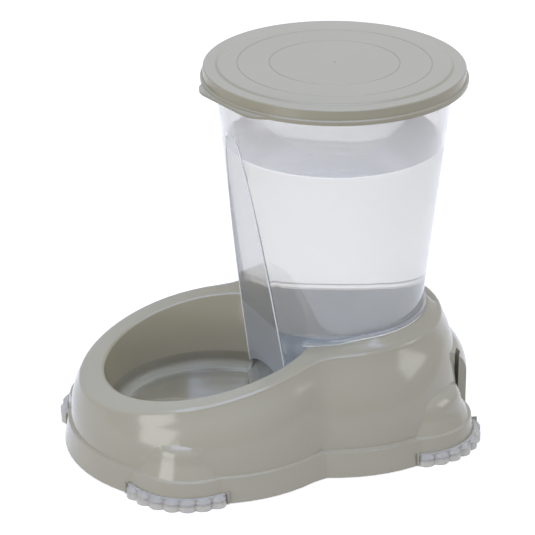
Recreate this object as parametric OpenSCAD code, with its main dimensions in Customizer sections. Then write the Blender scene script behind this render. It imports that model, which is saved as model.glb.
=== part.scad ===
// Gravity-fed pet water dispenser: a bowl base on four rubber feet, a clear refill
// tank standing in the rear of the bowl, a lift-off lid and a sprung outlet valve.
// Millimetres, +Z up, the bowl faces -Y. The origin is the floor point in the middle
// of the base's length and width.

/* [Base] */
// Radius of the bowl half of the base on the floor
bowl_foot_r = 97.2; // [94:0.2:104]
// Half width of the tank half of the base on the floor
tank_foot_r = 102.3; // [100:0.1:108]
// Depth of the base behind the tank axis, on the floor
rear_depth = 91; // [88:0.5:98]
// Distance from the bowl axis to the tank axis
lobe_gap = 90.6; // [86:0.2:96]
// Height of the rim beside the tank
rim_h = 75.5; // [70:0.5:82]
// Fall of the rim from the tank to the front lip
rim_drop = 27; // [20:0.5:30]
// Distance ahead of the tank axis at which the rim starts to fall
rim_flat_y = 30; // [20:1:40]
// Height of the skirt below the ledge
skirt_h = 17.4; // [14:0.2:22]
// Clearance under the skirt
skirt_lift = 0.8; // [0.4:0.1:2]
// Inward draft of the skirt over its height
skirt_draft = 2.6; // [1:0.1:4]
// Width of the ledge round the bowl half
ledge_w = 1.8; // [1:0.1:3]
// Width of the ledge round the tank half
tank_ledge_w = 3.8; // [2:0.1:5]
// Lean of the side wall from the ledge to the rim, at the side of the bowl
side_lean = 15.7; // [12:0.1:18]
// Lean of the front wall from the ledge to the rim
front_lean = 4.3; // [3:0.1:8]
// Radius of the rim's outer edge beside the tank
collar_r = 74.5; // [72:0.5:78]
// Share of the lean that is straight draft, the rest being the curved shoulder
draft_share = 0.25; // [0.1:0.05:0.5]
// Radius of the rim's outer edge rounding
rim_round = 3; // [1.5:0.5:4]
// Wall thickness of the base moulding
base_wall = 2.8; // [2:0.1:3.5]
// Wall thickness of the bowl and the tank's well
basin_wall = 2.5; // [2:0.1:3]
// Thickness of the ribs under the base
rib_t = 1.8; // [1.4:0.1:2.4]
// Height of the ribs' lower edge above the floor
rib_z = 4; // [3:0.5:8]
// Height of the ribs
rib_h = 40; // [30:1:44]
// Distance from the bowl's or the tank's axis at which a rib starts
rib_in = 43.5; // [43.2:0.1:46]

/* [Bowl] */
// Half width of the bowl mouth
bowl_mouth_a = 62.9; // [58:0.1:66]
// Half length of the bowl mouth
bowl_mouth_b = 70.5; // [66:0.5:74]
// Height of the bowl floor
bowl_floor_z = 14; // [10:0.5:18]
// Inward draft of the bowl wall from the mouth to the floor corner
bowl_draft = 5; // [2:0.5:8]
// Radius of the corner between the bowl wall and its floor
bowl_corner_r = 9; // [5:0.5:12]
// Flare of the bowl's mouth edge
mouth_flare = 1.6; // [1:0.1:2.4]

/* [Rear grip] */
// Radius in plan of the raised rear panel
panel_r = 114; // [108:1:120]
// How far the middle of the panel lies behind the tank axis
panel_y = 88.5; // [87:0.1:90]
// Half width of the panel
panel_half_w = 60; // [50:1:64]
// Height at which the panel's shoulder starts
panel_shoulder_z = 38; // [34:1:42]
// Radius of the panel's shoulder
panel_shoulder_r = 19; // [14:1:20]
// Width of the slot between the panel's end and the wall
slot_w = 2.6; // [2:0.1:3.4]
// Depth of the slot behind the panel
slot_depth = 9; // [6:0.5:12]
// Wall left round the slot
slot_wall = 1.8; // [1.4:0.1:2.4]

/* [Feet] */
// How far a front foot's centre lies inside the bowl half's outline
front_foot_in = 34.6; // [31:0.2:37]
// Angle of the front feet from the front
front_foot_angle = 52.2; // [46:0.2:56]
// How far a rear foot's centre lies inside the tank half's side
rear_foot_in = 34.8; // [32:0.2:38]
// Angle of the rear feet from the side
rear_foot_angle = 26.4; // [22:0.2:32]
// Radius of a foot dome on the floor
dome_r = 42.8; // [41:0.1:44]
// Inward draft of a foot dome up to the ledge
dome_draft = 3.3; // [2:0.1:4.5]
// Width of the ledge round a foot dome
dome_ledge_w = 2; // [1:0.1:2.6]
// Inward lean of a foot dome from the floor to its shoulder
dome_lean = 10.4; // [8:0.1:14]
// Height of a foot dome's shoulder
dome_shoulder_z = 28; // [24:1:32]
// Height of a foot dome
dome_h = 40; // [36:1:44]
// Thickness of the rubber band at its thinnest
shoe_wall = 0.8; // [0.6:0.1:1.2]
// Height of the rubber band
shoe_h = 8; // [6:0.5:10]
// Width of the rubber sole
sole_w = 12; // [8:0.5:16]
// Thickness of the rubber sole
sole_h = 2.4; // [1.6:0.1:3]
// Half angle of the foot, seen from its centre
shoe_half_angle = 48; // [40:1:52]
// Number of toes round a foot
toes = 7; // [6:1:8]
// Radius of one toe
toe_r = 6.2; // [5.6:0.1:7]
// Reach of the toes from the foot's centre
shoe_r = 46.5; // [46:0.1:48]
// Height of the straight part of a toe
toe_h = 5.5; // [4:0.1:5.9]
// Gap between the rubber and the moulding
shoe_gap = 0.1; // [0.05:0.05:0.2]
// Thickness of the fin at each end of the rubber
fin_t = 1.2; // [0.8:0.1:1.6]
// Reach of a fin past the foot dome
fin_reach = 2.4; // [1:0.1:3]

/* [Tank] */
// Outer radius that the tank's cone would have at floor height
tank_r0 = 52.4; // [50:0.1:54]
// Growth of the tank's radius for each millimetre of height
tank_taper = 0.1046; // [0.09:0.0005:0.11]
// Height of the tank's floor, on its underside
tank_z0 = 44; // [42.5:0.5:50]
// Height of the skirt's foot below the tank
tank_foot_z = 16.5; // [15:0.5:24]
// Height of the arch in the skirt's front
arch_top_z = 41; // [36:0.5:42]
// Radius of the arch
arch_r = 53; // [48:1:60]
// Height of the tank's mouth
tank_top_z = 241.2; // [200:0.1:260]
// Wall thickness of the tank
tank_wall = 2.2; // [1.6:0.1:3]
// Thickness of the tank's floor
tank_floor_t = 2.6; // [2:0.1:4]
// Depth of the front facet's cut into the cone, at floor height
facet_cut = 10.8; // [9:0.1:12]
// Forward lean of the front facet for each millimetre of height
facet_lean = 0.1545; // [0.15:0.0005:0.16]
// Outer radius of the flange round the tank's mouth
mouth_flange_r = 83.4; // [82:0.1:84]
// Thickness of the mouth flange
mouth_flange_t = 2; // [1.5:0.1:2.5]
// Clearance between the tank and its well
well_gap = 1; // [0.8:0.1:1.5]

/* [Seat] */
// Height of the collar that the tank's flange stands on
seat_z = 80; // [78:0.5:84]
// Fall of the collar for each millimetre towards the bowl
seat_slope = 0.156; // [0.1:0.002:0.2]
// Distance ahead of the tank axis at which the collar starts to fall
seat_flat_y = 8; // [4:1:14]
// Width of the support flange outside the tank's wall
seat_flange_w = 3; // [2.4:0.1:4]
// Thickness of the support flange
seat_flange_t = 3.2; // [2.4:0.1:4]
// Half angle of the flange's open front
seat_open_angle = 46; // [42:1:52]
// Gap between the flange and the collar
seat_gap = 0.3; // [0.2:0.05:0.5]

/* [Outlet valve] */
// Outer radius of the outlet neck
neck_r = 21; // [19:0.5:23]
// Wall thickness of the neck
neck_wall = 2.5; // [2:0.1:3]
// Height of the neck's end
neck_z = 33; // [31:0.5:36]
// Wall thickness of the outlet cap
cap_wall = 3; // [2.5:0.1:4]
// Thickness of the cap's floor
cap_floor_t = 2.5; // [2:0.1:3.5]
// Height of the cap's rim above the neck's end
cap_overlap = 9; // [7:0.5:10]
// Gap between the cap and the neck
cap_gap = 0.2; // [0.1:0.05:0.3]
// Number of grip ribs on the cap
cap_ribs = 24; // [18:2:30]
// Radius of a grip rib
cap_rib_r = 0.8; // [0.6:0.1:1]
// Thickness of the cap's gasket
gasket_t = 1.5; // [1:0.1:2]
// Radius of the outlet hole
outlet_r = 7; // [6:0.5:8]
// Radius of the valve stem
stem_r = 2.5; // [2:0.1:3]
// Radius of the valve's head
head_r = 10.5; // [9.5:0.5:11.5]
// Thickness of the valve's head
head_t = 2.5; // [2:0.1:3]
// Thickness of the valve washer
washer_t = 2; // [1.5:0.1:2.5]
// How far the washer's edge lies inside the head's
washer_inset = 0.5; // [0.2:0.1:1]
// Lift of the valve when the tank is seated
valve_lift = 4; // [2.5:0.5:5]
// Length of the stem below the washer
stem_drop = 10; // [9:0.5:12]
// Rise of the stem above the cage
stem_rise = 2; // [1:0.5:3]
// Height of the cage above the cap's floor
cage_h = 23; // [21:0.5:26]
// Thickness of the cage's ring and bridge
cage_t = 2.5; // [2:0.1:3]
// Number of cage legs
cage_legs = 3; // [3:1:5]
// Width of a cage leg
cage_leg_w = 5; // [4:0.5:6]
// Thickness of a cage leg
cage_leg_t = 3.2; // [2.8:0.1:3.4]
// Gap between the cage and the neck's bore
cage_gap = 0.4; // [0.2:0.05:0.5]
// Running clearance round the stem
stem_gap = 0.08; // [0.05:0.01:0.1]
// Radius of the spring coil
spring_r = 6; // [5:0.5:7]
// Radius of the spring wire
wire_r = 0.6; // [0.5:0.05:0.8]
// Gap between the spring and what it presses on
spring_gap = 0.1; // [0.05:0.05:0.2]
// Number of turns in the spring
spring_turns = 5; // [4:1:6]
// Radius of the push post in the base
post_r = 5; // [4:0.5:6]
// Gap between the push post and the stem
post_gap = 0.1; // [0.05:0.05:0.2]

/* [Lid] */
// Radius of the lid's top edge
lid_r = 85; // [83:0.1:85.8]
// Height of the lid above the tank's mouth
lid_h = 7.5; // [6.5:0.1:9]
// Draft of the lid's skirt
lid_draft = 0.4; // [0.2:0.1:1]
// Radius of the lip round the lid's foot
lip_r = 86.8; // [86.2:0.1:88]
// Height of the lip
lip_h = 3; // [2.6:0.1:3.6]
// Gap between the lip and the mouth flange
lip_gap = 0.4; // [0.3:0.05:0.6]
// Width of the lid's seat on the mouth flange
lid_seat_w = 3.4; // [2.5:0.1:5]
// Thickness of the lid
lid_t = 2.4; // [2:0.1:3]
// Width of the bevel on the lid's top edge and on the plug
lid_bevel = 0.6; // [0.4:0.1:1]
// Width of the bevel on the lip
lip_bevel = 0.6; // [0.3:0.1:0.8]
// Radius of the raised field in the lid
field_r = 75; // [70:0.5:78]
// Rise of the field above the border
field_rise = 1; // [0.6:0.1:1.6]
// Width of the slope up to the field
slope_w = 2.6; // [1.6:0.2:4]
// Radius of the middle groove in the field
ring_r = 62.9; // [58:0.5:66]
// Radius of the inner groove in the field
hub_ring_r = 42.1; // [38:0.5:46]
// Depth of each groove
ring_depth = 0.3; // [0.2:0.1:0.6]
// Half width of each groove
ring_half_w = 0.5; // [0.3:0.1:0.8]
// Depth of the plug below the tank's mouth
plug_depth = 6.8; // [6.4:0.2:9]
// Thickness of the plug's wall
plug_wall = 3.4; // [3:0.1:4]
// Gap between the plug and the tank's bore
plug_gap = 0.9; // [0.7:0.1:1.2]
// Radius of the seal's round section
seal_r = 1.5; // [1.2:0.1:1.8]
// Depth of the seal's middle below the tank's mouth
seal_depth = 3.6; // [3.4:0.1:4.2]
// Gap between the seal and the tank's bore
seal_gap = 0.3; // [0.2:0.05:0.4]
// Clearance of the seal in its groove
groove_gap = 0.05; // [0.02:0.01:0.1]
// Width of the pull tab
tab_w = 78; // [66:1:82]
// Reach of the pull tab past the lip
tab_reach = 1.5; // [1:0.1:4]
// Thickness of the pull tab
tab_t = 1.8; // [1.4:0.1:2.4]
// Corner radius of the pull tab
tab_corner_r = 19; // [15:1:22]
// Overlap of the tab with the lip
tab_lap = 0.7; // [0.4:0.1:1.2]
// Turn of the pull tab from the front
tab_angle = -10; // [-40:1:40]

/* [Hidden] */

$fn = 96;
eps = 0.01;
// Degrees of an arc that is as long as its radius
arc_turn = 180 / PI;
// Ribs ahead of the bowl's axis and behind the tank's axis, and the turn between two
bowl_ribs = 6;
tank_ribs = 5;
rib_pitch = 40;

base_len = bowl_foot_r + lobe_gap + rear_depth;
bowl_y = bowl_foot_r - base_len / 2;
tank_y = bowl_y + lobe_gap;

// How sharply the two lobes meet at the waist, from the foot up to the rim
foot_blend = 60;
skirt_blend = 40;
wall_blend = 30;
crease_blend = 10;
rim_blend = 12;
inner_blend = 24;
// Land left outside the bowl's mouth and outside the tank's seat
mouth_land = 1.4;
seat_land = 1;
// Plan sections of the base: bowl half width and length, tank half width and rear
// depth, and the blend of the two lobes
skirt_foot = [bowl_foot_r, bowl_foot_r, tank_foot_r, rear_depth, foot_blend];
skirt_top = grown(skirt_foot, -skirt_draft, skirt_blend);
wall_foot = [skirt_top[0] - ledge_w, skirt_top[1] - ledge_w, skirt_top[2] - tank_ledge_w,
    skirt_top[3] - tank_ledge_w, wall_blend];
crease = [wall_foot[0] - side_lean, wall_foot[1] - front_lean, collar_r, collar_r,
    crease_blend];
rim_top = grown(crease, -rim_round, rim_blend);
well_r = tank_r0 + well_gap;
seat_r = tank_r(seat_z) + seat_flange_w;
mouth_edge = mouth_flare + mouth_land;
rim_inner = [bowl_mouth_a + mouth_edge, bowl_mouth_b + mouth_edge,
    seat_r + seat_land, seat_r + seat_land, inner_blend];
rim_in_drop = 0.8;
loft_n = 44;
wall_steps = [0, 0.2, 0.4, 0.55, 0.7, 0.85, 1];
crease_front_y = bowl_y - crease[1];
ledge_rise = 0.6;
// How the rim's fall and the wall's upper curve gather pace
rim_fall_power = 1.4;
shoulder_power = 3;
// Room past the toes in the hollow for a foot
toe_room = 4;
// The ledge on a foot dome lies this much lower, so that the two ledges cross cleanly
dome_ledge_drop = 0.12;

function tank_r(z) = tank_r0 + tank_taper * z;
function grown(s, d, sharp) = [s[0] + d, s[1] + d, s[2] + d, s[3] + d, sharp];
function mix(a, b, t) = a + (b - a) * t;
function mix_section(a, b, t) = [for (i = [0:4]) mix(a[i], b[i], t)];
function lean(g) = draft_share * g + (1 - draft_share) * pow(g, shoulder_power);

// Half width of an ellipse lobe at a distance from its middle
function lobe(y, a, b) = a * sqrt(max(0, 1 - pow(y / b, 2)));
function bowl_w(y, s) = lobe(y - bowl_y, s[0], s[1]);
function tank_w(y, s) = lobe(y - tank_y, s[2], y > tank_y ? s[3] : s[2]);
// Half width of the two lobes blended at the waist
function half_w(y, s) =
    let (b = bowl_w(y, s), t = tank_w(y, s), m = max(b, t, eps))
    m * pow(pow(b / m, s[4]) + pow(t / m, s[4]), 1 / s[4]);
// How much of the outline belongs to the tank lobe, 0 to 1
function tank_share(y, s) =
    let (b = bowl_w(y, s), t = tank_w(y, s), m = max(b, t, eps))
    pow(t / m, s[4]) / max(eps, pow(b / m, s[4]) + pow(t / m, s[4]));

// Height of the rim's outer edge and of the tank's collar along the base
function rim_z(y) = rim_h - rim_drop * pow(max(0,
    (tank_y - rim_flat_y - y) / (tank_y - rim_flat_y - crease_front_y)), rim_fall_power);
function collar_z(y) = seat_z - seat_slope * max(0, tank_y - seat_flat_y - y);
function inner_z(y) = mix(rim_z(y) - rim_in_drop, collar_z(y), tank_share(y, rim_inner));

// Stations along the length of a section, close together at both ends
function station(s, i, n) =
    let (front = bowl_y - s[1], back = tank_y + s[3])
    (front + back) / 2 - (back - front) / 2 * cos(180 * i / n);
// One ring of a loft: right side front to back, then left side back to front
function ring(s, zs, n) = concat(
    [for (i = [0:n]) let (y = station(s, i, n)) [i % n == 0 ? 0 : half_w(y, s), y, zs[i]]],
    [for (i = [n - 1:-1:1]) let (y = station(s, i, n)) [-half_w(y, s), y, zs[i]]]);
function level(s, z, n) = ring(s, [for (i = [0:n]) z], n);
// A wall ring a share g of the way up from the ledge to the rim's edge, sunk by dz
function wall_ring(s, z0, g, dz, n) =
    ring(s, [for (i = [0:n]) mix(z0, rim_z(station(s, i, n)) + dz, g)], n);
// A ring on the rim's top, a share f of the way in from the crease to the mouth
function rim_ring(f, n) =
    let (s = mix_section(rim_top, rim_inner, f))
    ring(s, [for (i = [0:n]) let (y = station(s, i, n)) mix(rim_z(y), inner_z(y), f)], n);

// Solid between symmetric rings, capped by strips across from side to side
module loft(rings) {
    m = len(rings[0]);
    n = m / 2;
    top = (len(rings) - 1) * m;
    sides = [for (k = [0:len(rings) - 2], j = [0:m - 1])
        let (a = k * m + j, b = k * m + (j + 1) % m)
        each [[a, a + m, b + m], [a, b + m, b]]];
    low = [for (i = [0:n - 1]) cap_strip(i, n, 0, false)];
    high = [for (i = [0:n - 1]) cap_strip(i, n, top, true)];
    polyhedron([for (r = rings) each r], concat(sides, low, high), convexity = 6);
}
function cap_strip(i, n, start, up) =
    let (left = (2 * n - i) % (2 * n), left_next = 2 * n - i - 1,
        strip = i == 0 ? [0, left_next, 1]
            : i == n - 1 ? [i, left, n] : [i, left, left_next, i + 1],
        placed = [for (k = strip) start + k])
    up ? placed : [for (k = [len(placed) - 1:-1:0]) placed[k]];

module base_outer() {
    wall_top = [for (g = wall_steps)
        wall_ring(mix_section(wall_foot, crease, lean(g)), skirt_h + ledge_rise, g,
            -rim_round, loft_n)];
    edge = [for (a = [30:30:90])
        let (s = grown(crease, -rim_round * (1 - cos(a)), crease_blend))
        wall_ring(s, 0, 1, -rim_round * (1 - sin(a)), loft_n)];
    loft(concat([level(skirt_foot, skirt_lift, loft_n), level(skirt_top, skirt_h, loft_n)],
        wall_top, edge, [rim_ring(0.5, loft_n), rim_ring(1, loft_n)]));
}

// Puts a piece at a foot's centre, with +X pointing outwards
module foot_place(side, rear) {
    out = rear ? rear_foot_angle : front_foot_angle - 90;
    dist = rear ? tank_foot_r - rear_foot_in : bowl_foot_r - front_foot_in;
    mirror([side < 0 ? 1 : 0, 0, 0])
        translate([dist * cos(out), (rear ? tank_y : bowl_y) + dist * sin(out), 0])
            rotate(out)
                children();
}
module each_foot() {
    for (side = [-1, 1], rear = [false, true])
        foot_place(side, rear) children();
}
function dome_side(z) = dome_r - dome_draft * z / skirt_h;
// Foot dome with the ledge round it and a rounded shoulder, thinned by an inset
module dome(z0, inset) {
    arc_r = dome_h - dome_shoulder_z;
    mid_r = dome_r - dome_lean - arc_r;
    ledge_z = skirt_h - dome_ledge_drop - inset;
    ledge_r = dome_side(skirt_h) - dome_ledge_w - inset;
    rotate_extrude()
        polygon(concat([[0, z0], [dome_side(z0) - inset, z0],
            [dome_side(skirt_h) - inset, ledge_z], [ledge_r, ledge_z + ledge_rise]],
            [for (a = [0:15:90]) [mid_r + (arc_r - inset) * cos(a),
                dome_shoulder_z + (arc_r - inset) * sin(a)]],
            [[0, dome_h - inset]]));
}
// Fins of the base moulding that close the two ends of a rubber foot
module end_fins() {
    turn = shoe_half_angle + arc_turn * (fin_t / 2 + 2 * shoe_gap) / dome_r;
    for (side = [-1, 1])
        rotate(side * turn)
            translate([dome_r - 2 * fin_t, -fin_t / 2, skirt_lift])
                cube([2 * fin_t + fin_reach, fin_t, shoe_h]);
}
module rear_panel() {
    arc_r = panel_shoulder_r;
    back = panel_r * 0.2;
    intersection() {
        translate([0, tank_y + panel_y - panel_r, 0])
            rotate_extrude()
                polygon(concat([[panel_r - back, skirt_lift], [panel_r, skirt_lift]],
                    [for (a = [0:11.25:90]) [panel_r - arc_r * (1 - cos(a)),
                        panel_shoulder_z + arc_r * sin(a)]],
                    [[panel_r - back, panel_shoulder_z + arc_r]]));
        translate([-panel_half_w, tank_y, 0])
            cube([2 * panel_half_w, 2 * panel_r, 2 * rim_h]);
    }
}
// Slots that part the panel's two ends from the side wall
module panel_slots(grow) {
    wall_b = (wall_foot[3] + crease[3]) / 2 + slot_w / 2 + 0.6;
    wall_a = wall_foot[2];
    y = wall_b * sqrt(1 - pow(panel_half_w / wall_a, 2));
    turn = atan2(wall_b * wall_b * panel_half_w, wall_a * wall_a * y);
    top = panel_shoulder_z + panel_shoulder_r - skirt_h;
    for (side = [0, 1])
        mirror([side, 0, 0])
            translate([panel_half_w, tank_y + y, skirt_h + ledge_rise - grow])
                rotate(180 - turn)
                    translate([-2 * slot_w, -slot_w / 2 - grow, 0])
                        cube([slot_depth + 2 * slot_w + grow, slot_w + 2 * grow,
                            top + 2 * grow]);
}

// Oval ring of the bowl, inset from the mouth, a share f of the way up to the rim
function oval_ring(inset, z0, f, dz, n) =
    let (a = bowl_mouth_a - inset, b = bowl_mouth_b - inset)
    [for (j = [0:2 * n - 1]) let (t = 180 * j / n, y = bowl_y - b * cos(t))
        [a * sin(t), y, mix(z0, rim_z(y) - rim_in_drop + dz, f)]];
bowl_n = 36;
module bowl_space() {
    corner = [for (a = [0:22.5:90])
        oval_ring(bowl_draft + bowl_corner_r * (1 - sin(a)),
            bowl_floor_z + bowl_corner_r * (1 - cos(a)), 0, 0, bowl_n)];
    mouth = [oval_ring(0, 0, 1, -mouth_flare, bowl_n),
        oval_ring(-0.3 * mouth_flare, 0, 1, -0.4 * mouth_flare, bowl_n),
        oval_ring(-mouth_flare, 0, 1, 0.02, bowl_n),
        oval_ring(-mouth_flare, 0, 1, seat_z - rim_h + 4, bowl_n)];
    loft(concat(corner, mouth));
}
module bowl_body() {
    loft([oval_ring(bowl_draft + bowl_corner_r / 2 - basin_wall,
            bowl_floor_z - basin_wall, 0, 0, bowl_n),
        oval_ring(bowl_draft - basin_wall, bowl_floor_z + bowl_corner_r / 2, 0, 0, bowl_n),
        oval_ring(-basin_wall, 0, 1, -mouth_flare, bowl_n)]);
}
module well_space() {
    z1 = seat_z + 4;
    translate([0, tank_y, bowl_floor_z])
        cylinder(h = z1 - bowl_floor_z, r1 = well_r + tank_taper * bowl_floor_z,
            r2 = well_r + tank_taper * z1);
}
module well_body() {
    z0 = bowl_floor_z - basin_wall;
    z1 = seat_z - basin_wall;
    translate([0, tank_y, z0])
        cylinder(h = z1 - z0, r1 = well_r + tank_taper * z0 + basin_wall,
            r2 = well_r + tank_taper * z1 + basin_wall);
}
module ribs() {
    rib_fan(bowl_y, -90, bowl_ribs);
    rib_fan(tank_y, 90, tank_ribs);
}
module rib_fan(y, middle, count) {
    for (k = [0:count - 1])
        translate([0, y, rib_z])
            rotate(middle + (k - (count - 1) / 2) * rib_pitch)
                translate([rib_in, -rib_t / 2, 0])
                    cube([bowl_mouth_a, rib_t, rib_h]);
}
// Space under the moulding, between the outer wall and the bowl and well
module under_space() {
    inner_foot = grown(wall_foot, -base_wall, wall_foot[4]);
    inner_crease = grown(crease, -base_wall, crease[4]);
    n = 28;
    walls = [for (g = [0, 0.4, 0.7, 0.85, 1])
        wall_ring(mix_section(inner_foot, inner_crease, lean(g)), skirt_h - base_wall, g,
            -rim_round - base_wall, n)];
    difference() {
        union() {
            loft(concat([level(grown(skirt_foot, -base_wall, skirt_foot[4]), -1, n),
                level(grown(skirt_top, -base_wall, skirt_top[4]), skirt_h - base_wall - 1, n)],
                walls));
            each_foot() dome(-1, base_wall);
        }
        bowl_body();
        well_body();
        ribs();
        panel_slots(slot_wall);
    }
}
stem_z0 = neck_z - gasket_t + valve_lift - stem_drop;
module push_post() {
    post_top = stem_z0 - post_gap;
    h = post_top - bowl_floor_z;
    translate([0, tank_y, bowl_floor_z - eps]) {
        cylinder(h = h + eps, r = post_r);
        for (k = [0:3])
            rotate(45 + 90 * k)
                translate([0, -rib_t / 2, 0])
                    cube([2.4 * post_r, rib_t, 0.6 * h]);
    }
}
module base_shell() {
    color([0.66, 0.65, 0.62]) {
        difference() {
            union() {
                difference() {
                    base_outer();
                    each_foot() rubber_space();
                }
                each_foot() dome(skirt_lift, 0);
                each_foot() end_fins();
                rear_panel();
            }
            under_space();
            bowl_space();
            well_space();
            panel_slots(0);
            each_foot() sole_space();
        }
        push_post();
    }
}

// Rubber foot: a sole under the dome and a band of toes round its outer side
module foot_sector(reach, turn) {
    polygon(concat([[0, 0]], [for (k = [-2:2]) [reach * cos(turn * k / 2),
        reach * sin(turn * k / 2)]]));
}
module sole_outline(grow) {
    intersection() {
        difference() {
            circle(r = shoe_r + toe_room);
            circle(r = dome_r - sole_w - grow);
        }
        foot_sector(2 * shoe_r, shoe_half_angle + arc_turn * grow / dome_r);
    }
}
module sole_space() {
    translate([0, 0, -1])
        linear_extrude(sole_h + shoe_gap + 1)
            sole_outline(shoe_gap);
}
// Room for the rubber round the dome
module rubber_space() {
    linear_extrude(shoe_h + shoe_gap)
        sole_outline(shoe_gap);
}
module rubber_foot() {
    toe_turn = 2 * shoe_half_angle / toes;
    band_r = dome_r + shoe_wall;
    difference() {
        intersection() {
            union() {
                cylinder(h = shoe_h, r = band_r);
                for (k = [0:toes - 1])
                    rotate((k - (toes - 1) / 2) * toe_turn)
                        translate([shoe_r - toe_r, 0, 0]) {
                            cylinder(h = toe_h, r = toe_r);
                            translate([0, 0, toe_h])
                                cylinder(h = shoe_h - toe_h, r1 = toe_r,
                                    r2 = toe_r - (shoe_h - toe_h) * 0.8);
                        }
            }
            linear_extrude(shoe_h)
                sole_outline(0);
        }
        translate([0, 0, sole_h])
            dome_clear();
    }
}
// Room for the dome above the sole
module dome_clear() {
    cylinder(h = shoe_h, r1 = dome_side(sole_h) + shoe_gap,
        r2 = dome_side(sole_h + shoe_h) + shoe_gap);
}
module foot_front_right() {
    color([0.55, 0.57, 0.58]) foot_place(1, false) rubber_foot();
}
module foot_front_left() {
    color([0.55, 0.57, 0.58]) foot_place(-1, false) rubber_foot();
}
module foot_rear_right() {
    color([0.55, 0.57, 0.58]) foot_place(1, true) rubber_foot();
}
module foot_rear_left() {
    color([0.55, 0.57, 0.58]) foot_place(-1, true) rubber_foot();
}

// Keeps what lies behind the tank's front facet, set back by an inset
module behind_facet(inset) {
    size = 4 * tank_top_z;
    y0 = facet_cut - tank_r0 + inset * sqrt(1 + facet_lean * facet_lean);
    translate([0, y0, 0])
        rotate([atan(facet_lean), 0, 0])
            translate([-size / 2, 0, -size / 2])
                cube(size);
}
module tank_cone(z0, z1, inset) {
    translate([0, 0, z0])
        cylinder(h = z1 - z0, r1 = tank_r(z0) - inset, r2 = tank_r(z1) - inset);
}
module support_flange() {
    tilt = atan(seat_slope);
    z0 = seat_z + seat_gap;
    big = 2 * seat_r;
    half = seat_open_angle;
    intersection() {
        difference() {
            translate([0, 0, z0 - big / 2])
                cylinder(h = big, r = seat_r);
            tank_cone(z0 - big / 2 - 1, z0 + big / 2 + 1, tank_wall / 2);
            rotate(-90)
                translate([0, 0, z0 - big])
                    linear_extrude(2 * big)
                        polygon([[0, 0], [big * cos(half), -big * sin(half)],
                            [big * cos(half), big * sin(half)]]);
        }
        union() {
            translate([-big / 2, -seat_flat_y, z0])
                cube([big, big, seat_flange_t]);
            translate([0, -seat_flat_y, z0])
                rotate([tilt, 0, 0])
                    translate([-big / 2, -big, 0])
                        cube([big, big + eps, seat_flange_t]);
        }
    }
}
// Hollow of the tank between two heights
module tank_space(z0, z1) {
    intersection() {
        tank_cone(z0, z1, tank_wall);
        behind_facet(tank_wall);
    }
}
// Arch through the front of the skirt, which lets the water out into the bowl
module outlet_arch() {
    intersection() {
        translate([0, 0, arch_top_z - arch_r])
            rotate([90, 0, 0])
                cylinder(h = 2 * tank_r0, r = arch_r);
        translate([-arch_r, -2 * tank_r0, tank_foot_z - 1])
            cube([2 * arch_r, 2 * tank_r0, arch_r]);
    }
}
module tank() {
    bore = neck_r - neck_wall;
    color([0.8, 0.84, 0.86, 0.5])
        translate([0, tank_y, 0])
            difference() {
                union() {
                    intersection() {
                        tank_cone(tank_foot_z, tank_top_z, 0);
                        behind_facet(0);
                    }
                    support_flange();
                    translate([0, 0, tank_top_z - mouth_flange_t])
                        cylinder(h = mouth_flange_t, r = mouth_flange_r);
                }
                tank_space(tank_z0 + tank_floor_t, tank_top_z + 1);
                difference() {
                    tank_space(tank_foot_z - 1, tank_z0);
                    translate([0, 0, neck_z])
                        cylinder(h = tank_z0, r = neck_r);
                }
                outlet_arch();
                translate([0, 0, neck_z - 1])
                    cylinder(h = tank_z0 + tank_floor_t - neck_z + 2, r = bore);
            }
}

cap_floor_z = neck_z - gasket_t;
module outlet_cap() {
    r_in = neck_r + cap_gap;
    r_out = r_in + cap_wall;
    z0 = cap_floor_z - cap_floor_t;
    h = neck_z + cap_overlap - z0;
    color([0.62, 0.62, 0.6])
        translate([0, tank_y, z0])
            difference() {
                union() {
                    cylinder(h = h, r = r_out);
                    for (k = [0:cap_ribs - 1])
                        rotate(360 * k / cap_ribs)
                            translate([r_out, 0, 0])
                                cylinder(h = h, r = cap_rib_r, $fn = 24);
                }
                translate([0, 0, cap_floor_t])
                    cylinder(h = h, r = r_in);
                translate([0, 0, -1])
                    cylinder(h = cap_floor_t + 2, r = outlet_r);
            }
}
module cap_gasket() {
    color([0.25, 0.25, 0.26])
        translate([0, tank_y, cap_floor_z])
            difference() {
                cylinder(h = gasket_t, r = neck_r);
                translate([0, 0, -1])
                    cylinder(h = gasket_t + 2, r = neck_r - neck_wall);
            }
}
module valve_cage() {
    r_out = neck_r - neck_wall - cage_gap;
    leg_out = r_out - cage_gap;
    leg_in = leg_out - cage_leg_t;
    color([0.86, 0.86, 0.84])
        translate([0, tank_y, cap_floor_z])
            difference() {
                union() {
                    cylinder(h = cage_t, r = r_out);
                    for (k = [0:cage_legs - 1])
                        rotate(90 + 360 * k / cage_legs)
                            translate([leg_in, -cage_leg_w / 2, 0])
                                cube([cage_leg_t, cage_leg_w, cage_h]);
                    translate([0, 0, cage_h - cage_t])
                        cylinder(h = cage_t, r = leg_out);
                }
                translate([0, 0, -1])
                    cylinder(h = cage_t + 2, r = leg_in);
                translate([0, 0, cage_h - cage_t - 1])
                    cylinder(h = cage_t + 2, r = stem_r + stem_gap);
            }
}
washer_z = cap_floor_z + valve_lift;
head_z = washer_z + washer_t;
module valve_stem() {
    top = cap_floor_z + cage_h + stem_rise;
    color([0.9, 0.9, 0.88])
        translate([0, tank_y, stem_z0]) {
            cylinder(h = top - stem_z0, r = stem_r);
            translate([0, 0, head_z - stem_z0])
                cylinder(h = head_t, r = head_r);
        }
}
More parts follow.
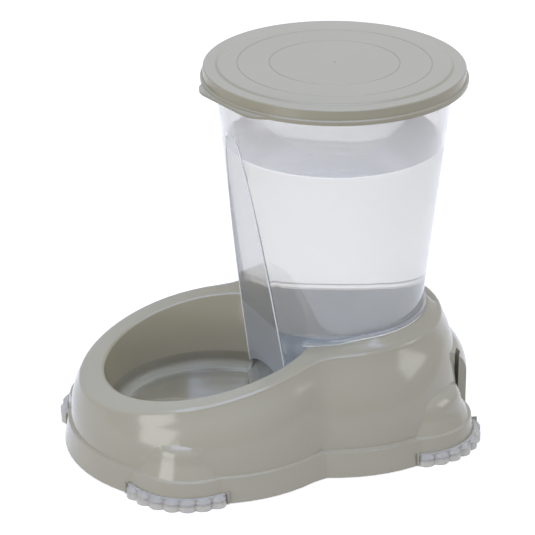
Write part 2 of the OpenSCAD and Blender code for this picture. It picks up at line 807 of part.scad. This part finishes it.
module valve_washer() {
    color([0.2, 0.2, 0.21])
        translate([0, tank_y, washer_z])
            difference() {
                cylinder(h = washer_t, r = head_r - washer_inset);
                translate([0, 0, -1])
                    cylinder(h = washer_t + 2, r = stem_r);
            }
}
// Round wire wound in a helix between the valve's head and the cage's bridge
module valve_spring() {
    sides = 8;
    steps = 16 * spring_turns;
    z0 = head_z + head_t + wire_r + spring_gap;
    z1 = cap_floor_z + cage_h - cage_t - wire_r - spring_gap;
    points = [for (i = [0:steps], j = [0:sides - 1])
        let (t = 360 * spring_turns * i / steps, u = 360 * j / sides,
            r = spring_r + wire_r * cos(u))
        [r * cos(t), r * sin(t), mix(z0, z1, i / steps) + wire_r * sin(u)]];
    skin = [for (i = [0:steps - 1], j = [0:sides - 1])
        let (a = i * sides + j, b = i * sides + (j + 1) % sides)
        each [[a, b, b + sides], [a, b + sides, a + sides]]];
    color([0.75, 0.75, 0.76])
        translate([0, tank_y, 0])
            polyhedron(points, concat(skin, [[for (j = [sides - 1:-1:0]) j]],
                [[for (j = [0:sides - 1]) steps * sides + j]]), convexity = 8);
}

plug_r = tank_r(tank_top_z - plug_depth) - tank_wall - plug_gap;
function field_groove(r, z) =
    [[r + ring_half_w, z], [r, z - ring_depth], [r - ring_half_w, z]];
module lid() {
    z0 = tank_top_z;
    top = z0 + lid_h;
    skirt_r = lid_r + lid_draft;
    plug_foot = z0 - plug_depth;
    field_z = top + field_rise;
    under = top - lid_t;
    seal_z = z0 - seal_depth;
    groove_h = seal_r + groove_gap;
    seal_in = seal_mid_r() - groove_h;
    lip_z = z0 - mouth_flange_t;
    lip_in = mouth_flange_r + lip_gap;
    seat_in = mouth_flange_r - lid_seat_w;
    color([0.68, 0.67, 0.64])
        translate([0, tank_y, 0]) {
            rotate_extrude()
                polygon(concat([[0, under], [plug_r - plug_wall, under],
                    [plug_r - plug_wall, plug_foot], [plug_r - lid_bevel, plug_foot],
                    [plug_r, plug_foot + lid_bevel], [plug_r, seal_z - groove_h],
                    [seal_in, seal_z - groove_h], [seal_in, seal_z + groove_h],
                    [plug_r, seal_z + groove_h], [plug_r, under], [seat_in, under],
                    [seat_in, z0], [lip_in, z0], [lip_in, lip_z], [lip_r, lip_z],
                    [lip_r, lip_z + lip_h - lip_bevel], [lip_r - lip_bevel, lip_z + lip_h],
                    [skirt_r, lip_z + lip_h], [lid_r, top - lid_bevel],
                    [lid_r - lid_bevel, top]],
                    [for (t = [0:0.2:1]) [field_r + slope_w * (1 - t),
                        mix(top, field_z, (1 - cos(180 * t)) / 2)]],
                    field_groove(ring_r, field_z), field_groove(hub_ring_r, field_z),
                    [[0, field_z]]));
            pull_tab(lip_z);
        }
}
module pull_tab(z0) {
    reach = lip_r + tab_reach;
    c = tab_corner_r;
    root = lip_r - 2 * c;
    rotate(-90 - tab_angle)
        translate([0, 0, z0])
            linear_extrude(tab_t)
                difference() {
                    union() {
                        translate([root, -tab_w / 2])
                            square([reach - root - c, tab_w]);
                        translate([root, -tab_w / 2 + c])
                            square([reach - root, tab_w - 2 * c]);
                        for (side = [-1, 1])
                            translate([reach - c, side * (tab_w / 2 - c)])
                                circle(r = c);
                    }
                    circle(r = lip_r - tab_lap);
                }
}
function seal_mid_r() =
    tank_r(tank_top_z - seal_depth - seal_r) - tank_wall - seal_gap - seal_r;
module lid_seal() {
    color([0.3, 0.31, 0.32])
        translate([0, tank_y, tank_top_z - seal_depth])
            rotate_extrude()
                translate([seal_mid_r(), 0])
                    circle(r = seal_r, $fn = 32);
}

base_shell();
foot_front_right();
foot_front_left();
foot_rear_right();
foot_rear_left();
tank();
outlet_cap();
cap_gasket();
valve_cage();
valve_stem();
valve_washer();
valve_spring();
lid();
lid_seal();
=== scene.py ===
import math

import bmesh
import bpy
from mathutils import Matrix, Vector


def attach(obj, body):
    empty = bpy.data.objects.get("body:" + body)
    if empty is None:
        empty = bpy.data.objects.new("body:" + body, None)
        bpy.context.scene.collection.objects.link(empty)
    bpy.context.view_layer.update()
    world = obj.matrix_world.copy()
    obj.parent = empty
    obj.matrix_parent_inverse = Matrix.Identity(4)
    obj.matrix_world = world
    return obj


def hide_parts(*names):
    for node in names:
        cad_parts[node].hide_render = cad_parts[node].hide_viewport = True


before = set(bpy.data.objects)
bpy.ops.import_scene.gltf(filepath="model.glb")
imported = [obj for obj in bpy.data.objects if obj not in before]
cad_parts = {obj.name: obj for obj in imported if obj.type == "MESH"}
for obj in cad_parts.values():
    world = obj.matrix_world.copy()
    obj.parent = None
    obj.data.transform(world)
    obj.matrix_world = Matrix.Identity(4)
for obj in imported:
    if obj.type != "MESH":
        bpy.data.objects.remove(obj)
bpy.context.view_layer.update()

MM = 0.001

# Tank: a cone about the tank's axis, cut by a leaning facet in front
TANK_Y = 48.4 * MM
TANK_R0 = 52.4 * MM
TANK_TAPER = 0.1046
TANK_WALL = 2.2 * MM
TANK_FLOOR_TOP = 46.6 * MM
FACET_Y0 = 41.6 * MM
FACET_LEAN = 0.1545
FOOT_TOP_Z = 80 * MM

# Creases between facet and cone, from the skirt's arch up to where they fade out
CREASE_LOW_Z = 31.5 * MM
CREASE_HIGH_Z = 208 * MM
CREASE_STEPS = 40
CREASE_R = 0.45 * MM
CREASE_SET_IN = 0.1 * MM

# Water in the tank, which reaches a little into the wall and climbs at its edge
TANK_WATER_Z = 198.1 * MM
WATER_OVERLAP = 0.1 * MM
CLIMB_H = 1.0 * MM
CLIMB_W = 1.6 * MM

# Bowl: an oval in front of the tank's round well
BOWL_Y = -42.2 * MM
BOWL_A = 62.9 * MM
BOWL_B = 70.5 * MM
BOWL_WATER_Z = 31.5 * MM
WELL_R0 = 53.4 * MM
WELL_OVERLAP = 1.2 * MM
WATER_FLOOR_Z = 13.0 * MM
# Heights of the bowl water's rings, and how far inside the bowl's oval each one lies
BOWL_WATER_RINGS = [(WATER_FLOOR_Z, 8.5 * MM), (14.5 * MM, 7.0 * MM), (18.5 * MM, 4.5 * MM),
                    (BOWL_WATER_Z, 2.6 * MM)]

# Camera at the photograph's view
CAMERA_PLACE = (1.34437, -0.64333, 0.79622)
CAMERA_AZIMUTH = 64.41
CAMERA_ELEVATION = 24.61
CAMERA_LENS = 167.22

# The point that the lamps face, and half the width of the floor
LAMP_TARGET = (0, 0, 0.1)
FLOOR_HALF = 6

# Finishes
BASE_GREY = (0.352, 0.321, 0.229)
PLASTIC_IOR = 1.49
RUBBER_IOR = 1.4
WATER_IOR = 1.333


# Shader trees

def add(tree, kind, inputs=None, **settings):
    """A new shader node. An input is a plain value or another node's output."""
    node = tree.nodes.new("ShaderNode" + kind)
    for name, value in settings.items():
        setattr(node, name, value)
    for name, value in (inputs or {}).items():
        if isinstance(value, bpy.types.NodeSocket):
            tree.links.new(value, node.inputs[name])
        else:
            node.inputs[name].default_value = value
    return node


def product(tree, *factors):
    last = factors[0]
    for factor in factors[1:]:
        last = add(tree, "Math", {0: last, 1: factor}, operation="MULTIPLY").outputs[0]
    return last


def rise(tree, value, start, end):
    """0 up to the start and 1 from the end on, with a straight line between them."""
    ends = {"Value": value, "From Min": start, "From Max": end}
    return add(tree, "MapRange", ends).outputs[0]


def object_place(tree):
    return add(tree, "TexCoord").outputs["Object"]


def reach_from_axis(tree, center, half_widths):
    """Distance from an upright axis, as a share of an oval's half widths."""
    (x, y), (a, b) = center, half_widths
    scaled = add(tree, "VectorMath", {0: object_place(tree), 1: (1 / a, 1 / b, 0),
                                      2: (-x / a, -y / b, 0)}, operation="MULTIPLY_ADD")
    return add(tree, "VectorMath", {0: scaled.outputs[0]}, operation="LENGTH").outputs["Value"]


def seen_mask(tree):
    """1 for rays that see the backdrop as it looks: camera, gloss and clear pieces."""
    path = add(tree, "LightPath")
    last = path.outputs["Is Camera Ray"]
    for name in ("Is Glossy Ray", "Is Transmission Ray"):
        last = add(tree, "Math", {0: last, 1: path.outputs[name]}, operation="MAXIMUM").outputs[0]
    return last


# Camera, backdrop and light

def direction(azimuth, elevation, distance=1.0):
    a, e = math.radians(azimuth), math.radians(elevation)
    return Vector((math.sin(a) * math.cos(e), -math.cos(a) * math.cos(e),
                   math.sin(e))) * distance


def place_facing(name, data, place, ahead):
    """A camera or lamp in the scene, turned to look ahead."""
    piece = bpy.data.objects.new(name, data)
    bpy.context.collection.objects.link(piece)
    piece.location = place
    piece.rotation_mode = "QUATERNION"
    piece.rotation_quaternion = ahead.to_track_quat("-Z", "Y")
    return piece


def make_camera():
    data = bpy.data.cameras.new("camera")
    data.sensor_fit = "HORIZONTAL"
    data.sensor_width = 36
    data.lens = CAMERA_LENS
    data.clip_start, data.clip_end = 0.1, 50
    ahead = -direction(CAMERA_AZIMUTH, CAMERA_ELEVATION)
    bpy.context.scene.camera = place_facing("camera", data, CAMERA_PLACE, ahead)
    bpy.context.scene.view_settings.view_transform = "Standard"


def make_world():
    world = bpy.data.worlds.new("studio")
    bpy.context.scene.world = world
    world.use_nodes = True
    tree = world.node_tree
    tree.nodes.clear()
    light = add(tree, "Background", {"Color": (1.0, 0.975, 0.93, 1), "Strength": 0.4})
    backdrop = add(tree, "Background", {"Strength": 1.0})
    mix = add(tree, "MixShader", {0: seen_mask(tree), 1: light.outputs[0],
                                  2: backdrop.outputs[0]})
    add(tree, "OutputWorld", {"Surface": mix.outputs[0]})


def floor_paper():
    mat = bpy.data.materials.new("floor paper")
    mat.use_nodes = True
    tree = mat.node_tree
    tree.nodes.clear()
    paper = add(tree, "BsdfDiffuse", {"Color": (0.62, 0.61, 0.59, 1)})
    glow = add(tree, "Emission", {"Color": (1, 1, 1, 1),
                                  "Strength": product(tree, seen_mask(tree), 0.62)})
    both = add(tree, "AddShader", {0: paper.outputs[0], 1: glow.outputs[0]})
    add(tree, "OutputMaterial", {"Surface": both.outputs[0]})
    return mat


def make_floor():
    bm = bmesh.new()
    bmesh.ops.create_grid(bm, x_segments=1, y_segments=1, size=FLOOR_HALF)
    floor = new_piece("floor", bm, floor_paper(), smooth=False)


def make_lamp(name, place, width, height, watts, color=(1, 1, 1)):
    data = bpy.data.lights.new(name, "AREA")
    data.shape = "RECTANGLE"
    data.size, data.size_y = width, height
    data.energy = watts
    data.color = color
    lamp = place_facing(name, data, place, Vector(LAMP_TARGET) - place)
    lamp.visible_camera = False
    lamp.visible_transmission = False


def make_lamps():
    make_lamp("top softbox", direction(60, 80, 1.6), 1.6, 1.6, 33, (0.51, 0.624, 1))
    make_lamp("side softbox", direction(24, 5, 1.5) + Vector(LAMP_TARGET), 0.7, 0.9, 8)
    make_lamp("rear softbox", direction(150, 30, 1.8), 0.9, 0.7, 5)


# Meshes

def new_piece(name, bm, mat, smooth=True, angle=35):
    mesh = bpy.data.meshes.new(name)
    bm.to_mesh(mesh)
    bm.free()
    if "custom_normal" in mesh.attributes:
        mesh.attributes.remove(mesh.attributes["custom_normal"])
    if smooth:
        mesh.polygons.foreach_set("use_smooth", [True] * len(mesh.polygons))
        mesh.set_sharp_from_angle(angle=math.radians(angle))
    mesh.materials.append(mat)
    piece = bpy.data.objects.new(name, mesh)
    bpy.context.collection.objects.link(piece)
    return piece


def everything_in(bm):
    return bm.verts[:] + bm.edges[:] + bm.faces[:]


def joined_copy(node, body, mat, angle, cuts=()):
    """Stands for a CAD node, with its faces joined so that round shapes shade smoothly.
    Its faces are parted at the heights in cuts."""
    bm = bmesh.new()
    bm.from_mesh(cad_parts[node].data)
    bmesh.ops.remove_doubles(bm, verts=bm.verts, dist=0.002 * MM)
    bmesh.ops.dissolve_degenerate(bm, edges=bm.edges, dist=0.001 * MM)
    for z in cuts:
        bmesh.ops.bisect_plane(bm, geom=everything_in(bm), plane_co=(0, 0, z),
                               plane_no=(0, 0, 1))
    piece = new_piece(node + "_shown", bm, mat, angle=angle)
    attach(piece, body)
    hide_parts(node)
    return piece


def grow_face(bm, face):
    """Extrudes one face in place and gives back its moved copy."""
    grown = bmesh.ops.extrude_face_region(bm, geom=[face])["geom"]
    return [g for g in grown if isinstance(g, bmesh.types.BMFace)][0]


def ringed_body(center_y, levels, segments=128):
    """A closed body about an upright axis; levels are (z, half width, half length)."""
    bm = bmesh.new()
    z, a, b = levels[0]
    oval = Matrix.Translation((0, 0, z)) @ Matrix.Diagonal((a, b, 1, 1))
    bmesh.ops.create_circle(bm, segments=segments, radius=1, cap_ends=True, matrix=oval)
    face = bm.faces[:][0]
    for next_z, next_a, next_b in levels[1:]:
        face = grow_face(bm, face)
        for v in face.verts:
            v.co.x *= next_a / a
            v.co.y *= next_b / b
            v.co.z = next_z
        a, b = next_a, next_b
    bmesh.ops.translate(bm, verts=bm.verts, vec=(0, center_y, 0))
    bmesh.ops.recalc_face_normals(bm, faces=bm.faces)
    return bm


def applied(piece):
    """The same piece with its modifiers made into its mesh."""
    bpy.context.view_layer.update()
    graph = bpy.context.evaluated_depsgraph_get()
    mesh = bpy.data.meshes.new_from_object(piece.evaluated_get(graph))
    piece.modifiers.clear()
    piece.data = mesh
    return piece


# Moulded plastics, rubber and wire

def new_group(name, inputs, outputs):
    group = bpy.data.node_groups.new(name, "ShaderNodeTree")
    for label, kind, value in inputs:
        socket = group.interface.new_socket(label, in_out="INPUT", socket_type=kind)
        socket.default_value = value
    for label, kind in outputs:
        group.interface.new_socket(label, in_out="OUTPUT", socket_type=kind)
    return group, group.nodes.new("NodeGroupInput"), group.nodes.new("NodeGroupOutput")


def moulded_surface_group():
    """Soft colour drift, fine mould grain and rounded edges of an injection moulding, with a
    painted highlight along the edges.
    """
    group, given, out = new_group(
        "moulded surface",
        [("Color", "NodeSocketColor", (0.3, 0.3, 0.3, 1)),
         ("Drift", "NodeSocketFloat", 0.03),
         ("Painted Edge Highlight", "NodeSocketFloat", 0.12),
         ("Roughness", "NodeSocketFloat", 0.3),
         ("Grain", "NodeSocketFloat", 0.02),
         ("Edge Radius", "NodeSocketFloat", 0.6 * MM)],
        [("Color", "NodeSocketColor"), ("Roughness", "NodeSocketFloat"),
         ("Normal", "NodeSocketVector")])
    given, links = given.outputs, group.links
    place = object_place(group)
    cloud = add(group, "TexNoise", {"Vector": place, "Scale": 14, "Detail": 3})
    grain = add(group, "TexNoise", {"Vector": place, "Scale": 900, "Detail": 2})

    rounded = add(group, "Bevel", {"Radius": given["Edge Radius"]}, samples=4).outputs[0]
    flat = add(group, "NewGeometry").outputs["Normal"]
    match = add(group, "VectorMath", {0: rounded, 1: flat}, operation="DOT_PRODUCT")
    edge = rise(group, match.outputs["Value"], 0.985, 0.9)

    drift = add(group, "MapRange", {"Value": cloud.outputs["Fac"], "From Min": 0.2,
                                    "From Max": 0.8, "To Min": -1, "To Max": 1},
                clamp=False).outputs[0]
    # painted highlight: the colour is lifted along edges found by the bevel normal, together with
    # the random colour drift
    highlight_and_drift = add(group, "Math", {0: edge, 1: given["Painted Edge Highlight"],
                              2: product(group, drift, given["Drift"])},
              operation="MULTIPLY_ADD").outputs[0]
    gain = add(group, "Math", {0: highlight_and_drift, 1: 1}, operation="ADD").outputs[0]
    tinted = add(group, "VectorMath", {0: given["Color"], "Scale": gain}, operation="SCALE")
    links.new(tinted.outputs[0], out.inputs["Color"])

    rough = add(group, "Math", {0: drift, 1: 0.02, 2: given["Roughness"]},
                operation="MULTIPLY_ADD")
    links.new(rough.outputs[0], out.inputs["Roughness"])

    bump = add(group, "Bump", {"Distance": 0.2 * MM, "Strength": given["Grain"],
                               "Height": grain.outputs["Fac"], "Normal": rounded})
    links.new(bump.outputs[0], out.inputs["Normal"])
    return group


def shader_of(name):
    mat = bpy.data.materials.new(name)
    mat.use_nodes = True
    return mat, mat.node_tree, mat.node_tree.nodes["Principled BSDF"]


def moulded_plastic(name, color, rough, grain=0.02):
    mat, tree, shader = shader_of(name)
    skin = add(tree, "Group", {"Color": (*color, 1), "Roughness": rough, "Grain": grain},
               node_tree=MOULDED)
    tree.links.new(skin.outputs["Color"], shader.inputs["Base Color"])
    tree.links.new(skin.outputs["Roughness"], shader.inputs["Roughness"])
    tree.links.new(skin.outputs["Normal"], shader.inputs["Normal"])
    return mat


def tint_skin(mat, factor, tint):
    """Multiplies a material's colour by a tint, as far as the factor says."""
    tree = mat.node_tree
    base = tree.nodes["Principled BSDF"].inputs["Base Color"]
    tinted = add(tree, "Mix", {"Factor": factor, "A": base.links[0].from_socket, "B": tint},
                 data_type="RGBA", blend_type="MULTIPLY")
    tree.links.new(tinted.outputs["Result"], base)


def gate_mark_shade_and_highlight(mat, center):
    """The small round mark that the mould's gate leaves in the middle of the lid, drawn as
    painted shade in its hollow centre and a painted highlight on its rim.
    """
    tree = mat.node_tree
    radius = 2.6 * MM
    ramp = add(tree, "ValToRGB", {"Fac": reach_from_axis(tree, center, (radius, radius))})
    stops = ramp.color_ramp.elements
    # the dark centre is painted shade; the stops above 1 are a painted highlight ring
    stops[0].color = (0.45, 0.45, 0.45, 1)
    for position, level in ((0.3, 0.5), (0.42, 1.12), (0.62, 1.08), (0.75, 0.93)):
        stops.new(position).color = (level, level, level, 1)
    tint_skin(mat, 1, ramp.outputs["Color"])


def painted_slope_shade(mat):
    """Paints shade into the lid's colour on its skirt and on its slopes."""
    tree = mat.node_tree
    normal = add(tree, "NewGeometry").outputs["Normal"]
    upward = add(tree, "SeparateXYZ", {0: normal}).outputs["Z"]
    # painted shade on faces that lean away from straight up
    tint_skin(mat, rise(tree, upward, 0.99, 0.93), (0.85, 0.83, 0.77, 1))


def painted_bowl_shade(mat):
    """Paints shade into the bowl's wall above the water towards the front, and paints the wall
    darker below the water's edge, down to the floor's corner."""
    tree = mat.node_tree
    past_wall = 2 * MM
    reach = reach_from_axis(tree, (0, BOWL_Y), (BOWL_A + past_wall, BOWL_B + past_wall))
    inside = add(tree, "Math", {0: reach, 1: 1}, operation="LESS_THAN").outputs[0]
    place = add(tree, "SeparateXYZ", {0: object_place(tree)})
    y, z = place.outputs["Y"], place.outputs["Z"]
    over_water = add(tree, "Math", {0: z, 1: BOWL_WATER_Z}, operation="GREATER_THAN").outputs[0]
    towards_front = rise(tree, y, 5 * MM, -95 * MM)
    # painted shade on the wall above the water, deepening towards the front
    tint_skin(mat, product(tree, inside, over_water, towards_front), (0.9, 0.87, 0.77, 1))
    below_edge = rise(tree, z, BOWL_WATER_Z + 0.5 * MM, BOWL_WATER_Z - 0.2 * MM)
    above_corner = rise(tree, z, 14 * MM, 18.2 * MM)
    # painted shade on the wall below the water's edge
    tint_skin(mat, product(tree, inside, below_edge, above_corner), (0.8, 0.78, 0.74, 1))


def base_plastic():
    mat = moulded_plastic("warm grey polypropylene", BASE_GREY, 0.15)
    painted_bowl_shade(mat)
    return mat


def lid_plastic():
    mat = moulded_plastic("lid grey polypropylene", BASE_GREY, 0.22)
    gate_mark_shade_and_highlight(mat, (0, TANK_Y))
    painted_slope_shade(mat)
    return mat


def foot_rubber():
    mat = moulded_plastic("soft foot rubber", (0.6, 0.575, 0.51), 0.35, grain=0.1)
    shader = mat.node_tree.nodes["Principled BSDF"]
    shader.inputs["Transmission Weight"].default_value = 0.45
    shader.inputs["IOR"].default_value = RUBBER_IOR
    return mat


def seal_rubber():
    return moulded_plastic("seal rubber", (0.05, 0.05, 0.055), 0.6, grain=0.1)


def cap_plastic():
    return moulded_plastic("cap plastic", (0.30, 0.36, 0.38), 0.35)


def valve_plastic():
    return moulded_plastic("valve acetal", (0.7, 0.7, 0.68), 0.35)


def spring_wire():
    mat = moulded_plastic("drawn stainless wire", (0.62, 0.62, 0.63), 0.25, grain=0.01)
    mat.node_tree.nodes["Principled BSDF"].inputs["Metallic"].default_value = 1
    return mat


# Clear plastic and water

def let_lamps_through(tree, shader):
    """Lamp light passes a clear piece instead of casting a solid shadow."""
    shadow = add(tree, "LightPath").outputs["Is Shadow Ray"]
    clear = add(tree, "BsdfTransparent", {"Color": (0.93, 0.94, 0.95, 1)})
    mix = add(tree, "MixShader", {0: shadow, 1: shader.outputs[0], 2: clear.outputs[0]})
    tree.links.new(mix.outputs[0], tree.nodes["Material Output"].inputs["Surface"])


def soft_waves(tree, shader, scale, strength):
    """The faint unevenness of a clear surface."""
    cloud = add(tree, "TexNoise", {"Vector": object_place(tree), "Scale": scale})
    bump = add(tree, "Bump", {"Strength": strength, "Distance": 0.5 * MM,
                              "Height": cloud.outputs["Fac"]})
    tree.links.new(bump.outputs[0], shader.inputs["Normal"])


def clear_plastic(name, tint, edge_tint, weight, rough):
    """Clear polypropylene: slightly hazy, and denser where the wall is seen edge on."""
    mat, tree, shader = shader_of(name)
    facing = add(tree, "LayerWeight", {"Blend": 0.35}).outputs["Facing"]
    color = add(tree, "Mix", {"Factor": facing, "A": (*tint, 1), "B": (*edge_tint, 1)},
                data_type="RGBA")
    tree.links.new(color.outputs["Result"], shader.inputs["Base Color"])
    soft_waves(tree, shader, 30, 0.05)
    shader.inputs["Roughness"].default_value = rough
    shader.inputs["IOR"].default_value = PLASTIC_IOR
    shader.inputs["Transmission Weight"].default_value = weight
    let_lamps_through(tree, shader)
    return mat


def frosted_plastic():
    """The tank's floor, moulded with a matt face."""
    mat = moulded_plastic("frosted polypropylene", (0.86, 0.87, 0.87), 0.4)
    shader = mat.node_tree.nodes["Principled BSDF"]
    shader.inputs["Transmission Weight"].default_value = 0.7
    let_lamps_through(mat.node_tree, shader)
    return mat


def clear_water(name, tint):
    mat, tree, shader = shader_of(name)
    soft_waves(tree, shader, 18, 0.03)
    shader.inputs["Base Color"].default_value = (*tint, 1)
    shader.inputs["Roughness"].default_value = 0
    shader.inputs["IOR"].default_value = WATER_IOR
    shader.inputs["Transmission Weight"].default_value = 1
    let_lamps_through(tree, shader)
    return mat


# Tank

def tank_finishes():
    """The finish of each part of the clear shell, by the part's name; the foot's darker tints are
    painted shade.
    """
    return {
        "wet wall": clear_plastic(
            "wet clear wall", (0.93, 0.91, 0.865), (0.7, 0.685, 0.65), 0.83, 0.03),
        "dry wall": clear_plastic(
            "dry clear wall", (1, 0.98, 0.955), (0.94, 0.92, 0.89), 0.76, 0.06),
        # the darker tints of the foot and the facet's foot, which stand in the base's well, are
        # painted shade
        "foot": clear_plastic(
            "clear foot in painted shade", (0.62, 0.655, 0.655), (0.6, 0.62, 0.61), 0.84, 0.14),
        "floor": frosted_plastic(),
        "wet facet": clear_plastic(
            "wet clear facet", (0.8, 0.785, 0.755), (0.7, 0.685, 0.65), 0.83, 0.1),
        "facet foot": clear_plastic(
            "clear facet foot in painted shade", (0.56, 0.57, 0.56), (0.54, 0.55, 0.54), 0.6, 0.35)}


def tank_part(face):
    """The name of the part of the clear shell that a face belongs to."""
    z = face.center.z
    facet_y = TANK_Y - FACET_Y0 - FACET_LEAN * z
    if z > TANK_WATER_Z:
        return "dry wall"
    if abs(face.center.y - facet_y) < 3 * MM and abs(face.normal.y) > 0.97:
        return "wet facet" if z > FOOT_TOP_Z else "facet foot"
    if abs(z - TANK_FLOOR_TOP) < 4 * MM and abs(face.normal.z) > 0.9:
        return "floor"
    return "foot" if z < FOOT_TOP_Z else "wet wall"


def make_tank():
    finishes = tank_finishes()
    parts = list(finishes)
    piece = joined_copy("tank", "tank", finishes["wet wall"], 7, (TANK_WATER_Z, FOOT_TOP_Z))
    for part in parts[1:]:
        piece.data.materials.append(finishes[part])
    for face in piece.data.polygons:
        face.material_index = parts.index(tank_part(face))


def crease_point(z):
    y = FACET_Y0 + FACET_LEAN * z
    x = math.sqrt((TANK_R0 + TANK_TAPER * z) ** 2 - y * y)
    return Vector((x - CREASE_SET_IN, TANK_Y - y + CREASE_SET_IN, z))


def crease_highlight_plastic():
    # the rounded corner is real; its pale, mostly matt colour is a painted highlight
    return clear_plastic("clear crease painted highlight", (1, 0.99, 0.97), (0.95, 0.94, 0.92), 0.2, 0.4)


def make_crease_edges():
    """Rounded corners where the tank's facet meets its cone, in a pale, mostly matt clear plastic
    that paints a highlight along the crease.
    """
    step = (CREASE_HIGH_Z - CREASE_LOW_Z) / CREASE_STEPS
    points = [crease_point(CREASE_LOW_Z + step * i) for i in range(CREASE_STEPS + 1)]
    bm = bmesh.new()
    bmesh.ops.create_circle(bm, segments=6, radius=CREASE_R, cap_ends=True,
                            matrix=Matrix.Translation(points[0]))
    face = bm.faces[:][0]
    for low, high in zip(points, points[1:]):
        face = grow_face(bm, face)
        bmesh.ops.translate(bm, verts=face.verts, vec=high - low)
    bmesh.ops.mirror(bm, geom=everything_in(bm), axis="X", merge_dist=0)
    bmesh.ops.recalc_face_normals(bm, faces=bm.faces)
    piece = new_piece("tank_crease_edges", bm, crease_highlight_plastic(), angle=60)
    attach(piece, "tank")


# Water

def tank_inside_r(z):
    return TANK_R0 + TANK_TAPER * z - TANK_WALL + WATER_OVERLAP


def make_tank_water(mat, painted_shade_surface_mat):
    """The tank's filling, cut by the facet, with a surface that climbs at its edge. Its top faces
    take a darker tint, a painted shade.
    """
    low_z = TANK_FLOOR_TOP - WATER_OVERLAP
    height = TANK_WATER_Z - low_z
    bm = bmesh.new()
    bmesh.ops.create_cone(bm, cap_ends=True, segments=192, radius1=tank_inside_r(low_z),
                          radius2=tank_inside_r(TANK_WATER_Z), depth=height,
                          matrix=Matrix.Translation((0, TANK_Y, low_z + height / 2)))
    facet_normal = Vector((0, -1, -FACET_LEAN)).normalized()
    facet_y = -FACET_Y0 + (TANK_WALL - WATER_OVERLAP) * math.hypot(1, FACET_LEAN)
    cut = bmesh.ops.bisect_plane(bm, geom=everything_in(bm), plane_co=(0, TANK_Y + facet_y, 0),
                                 plane_no=facet_normal, clear_outer=True)
    rim = [g for g in cut["geom_cut"] if isinstance(g, bmesh.types.BMEdge)]
    bmesh.ops.contextual_create(bm, geom=rim)
    surface = [f for f in bm.faces if f.normal.z > 0.9]
    bmesh.ops.inset_region(bm, faces=surface, thickness=CLIMB_W)
    for v in bm.verts:
        at_wall = not any(f in surface for f in v.link_faces)
        if v.co.z > TANK_WATER_Z - 0.001 * MM and at_wall:
            v.co.z += CLIMB_H
    bmesh.ops.recalc_face_normals(bm, faces=bm.faces)
    for f in bm.faces:
        f.material_index = int(f.normal.z > 0.5)
    piece = new_piece("tank_water", bm, mat)
    piece.data.materials.append(painted_shade_surface_mat)
    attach(piece, "tank")


def make_bowl_water(mat):
    """One body of water in the bowl's oval and in the round well behind it."""
    oval = ringed_body(BOWL_Y, [(z, BOWL_A - inset, BOWL_B - inset)
                                for z, inset in BOWL_WATER_RINGS])
    well_rings = [(z, WELL_R0 + TANK_TAPER * z + WELL_OVERLAP)
                  for z in (WATER_FLOOR_Z, BOWL_WATER_Z)]
    well = ringed_body(TANK_Y, [(z, r, r) for z, r in well_rings])
    piece = new_piece("bowl_water", oval, mat)
    tool = new_piece("well_water", well, mat)
    join = piece.modifiers.new("join", "BOOLEAN")
    join.operation = "UNION"
    join.solver = "EXACT"
    join.object = tool
    applied(piece)
    bpy.data.objects.remove(tool)
    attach(piece, "base")


# Pieces that keep their solid's own mesh

def dress(nodes, mat):
    for node in nodes:
        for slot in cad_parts[node].material_slots:
            slot.material = mat


make_camera()
make_world()
make_floor()
make_lamps()

MOULDED = moulded_surface_group()
joined_copy("base_shell", "base", base_plastic(), 28)
joined_copy("lid", "lid", lid_plastic(), 24)
dress(["foot_front_right", "foot_front_left", "foot_rear_right", "foot_rear_left"],
      foot_rubber())
dress(["outlet_cap"], cap_plastic())
dress(["valve_cage", "valve_stem"], valve_plastic())
dress(["cap_gasket", "valve_washer", "lid_seal"], seal_rubber())
dress(["valve_spring"], spring_wire())

make_tank()
make_crease_edges()
water = clear_water("water", (0.985, 0.995, 0.998))
# the water surface's darker tint is painted shade
make_tank_water(water, clear_water("water surface painted shade", (0.66, 0.71, 0.74)))
make_bowl_water(water)
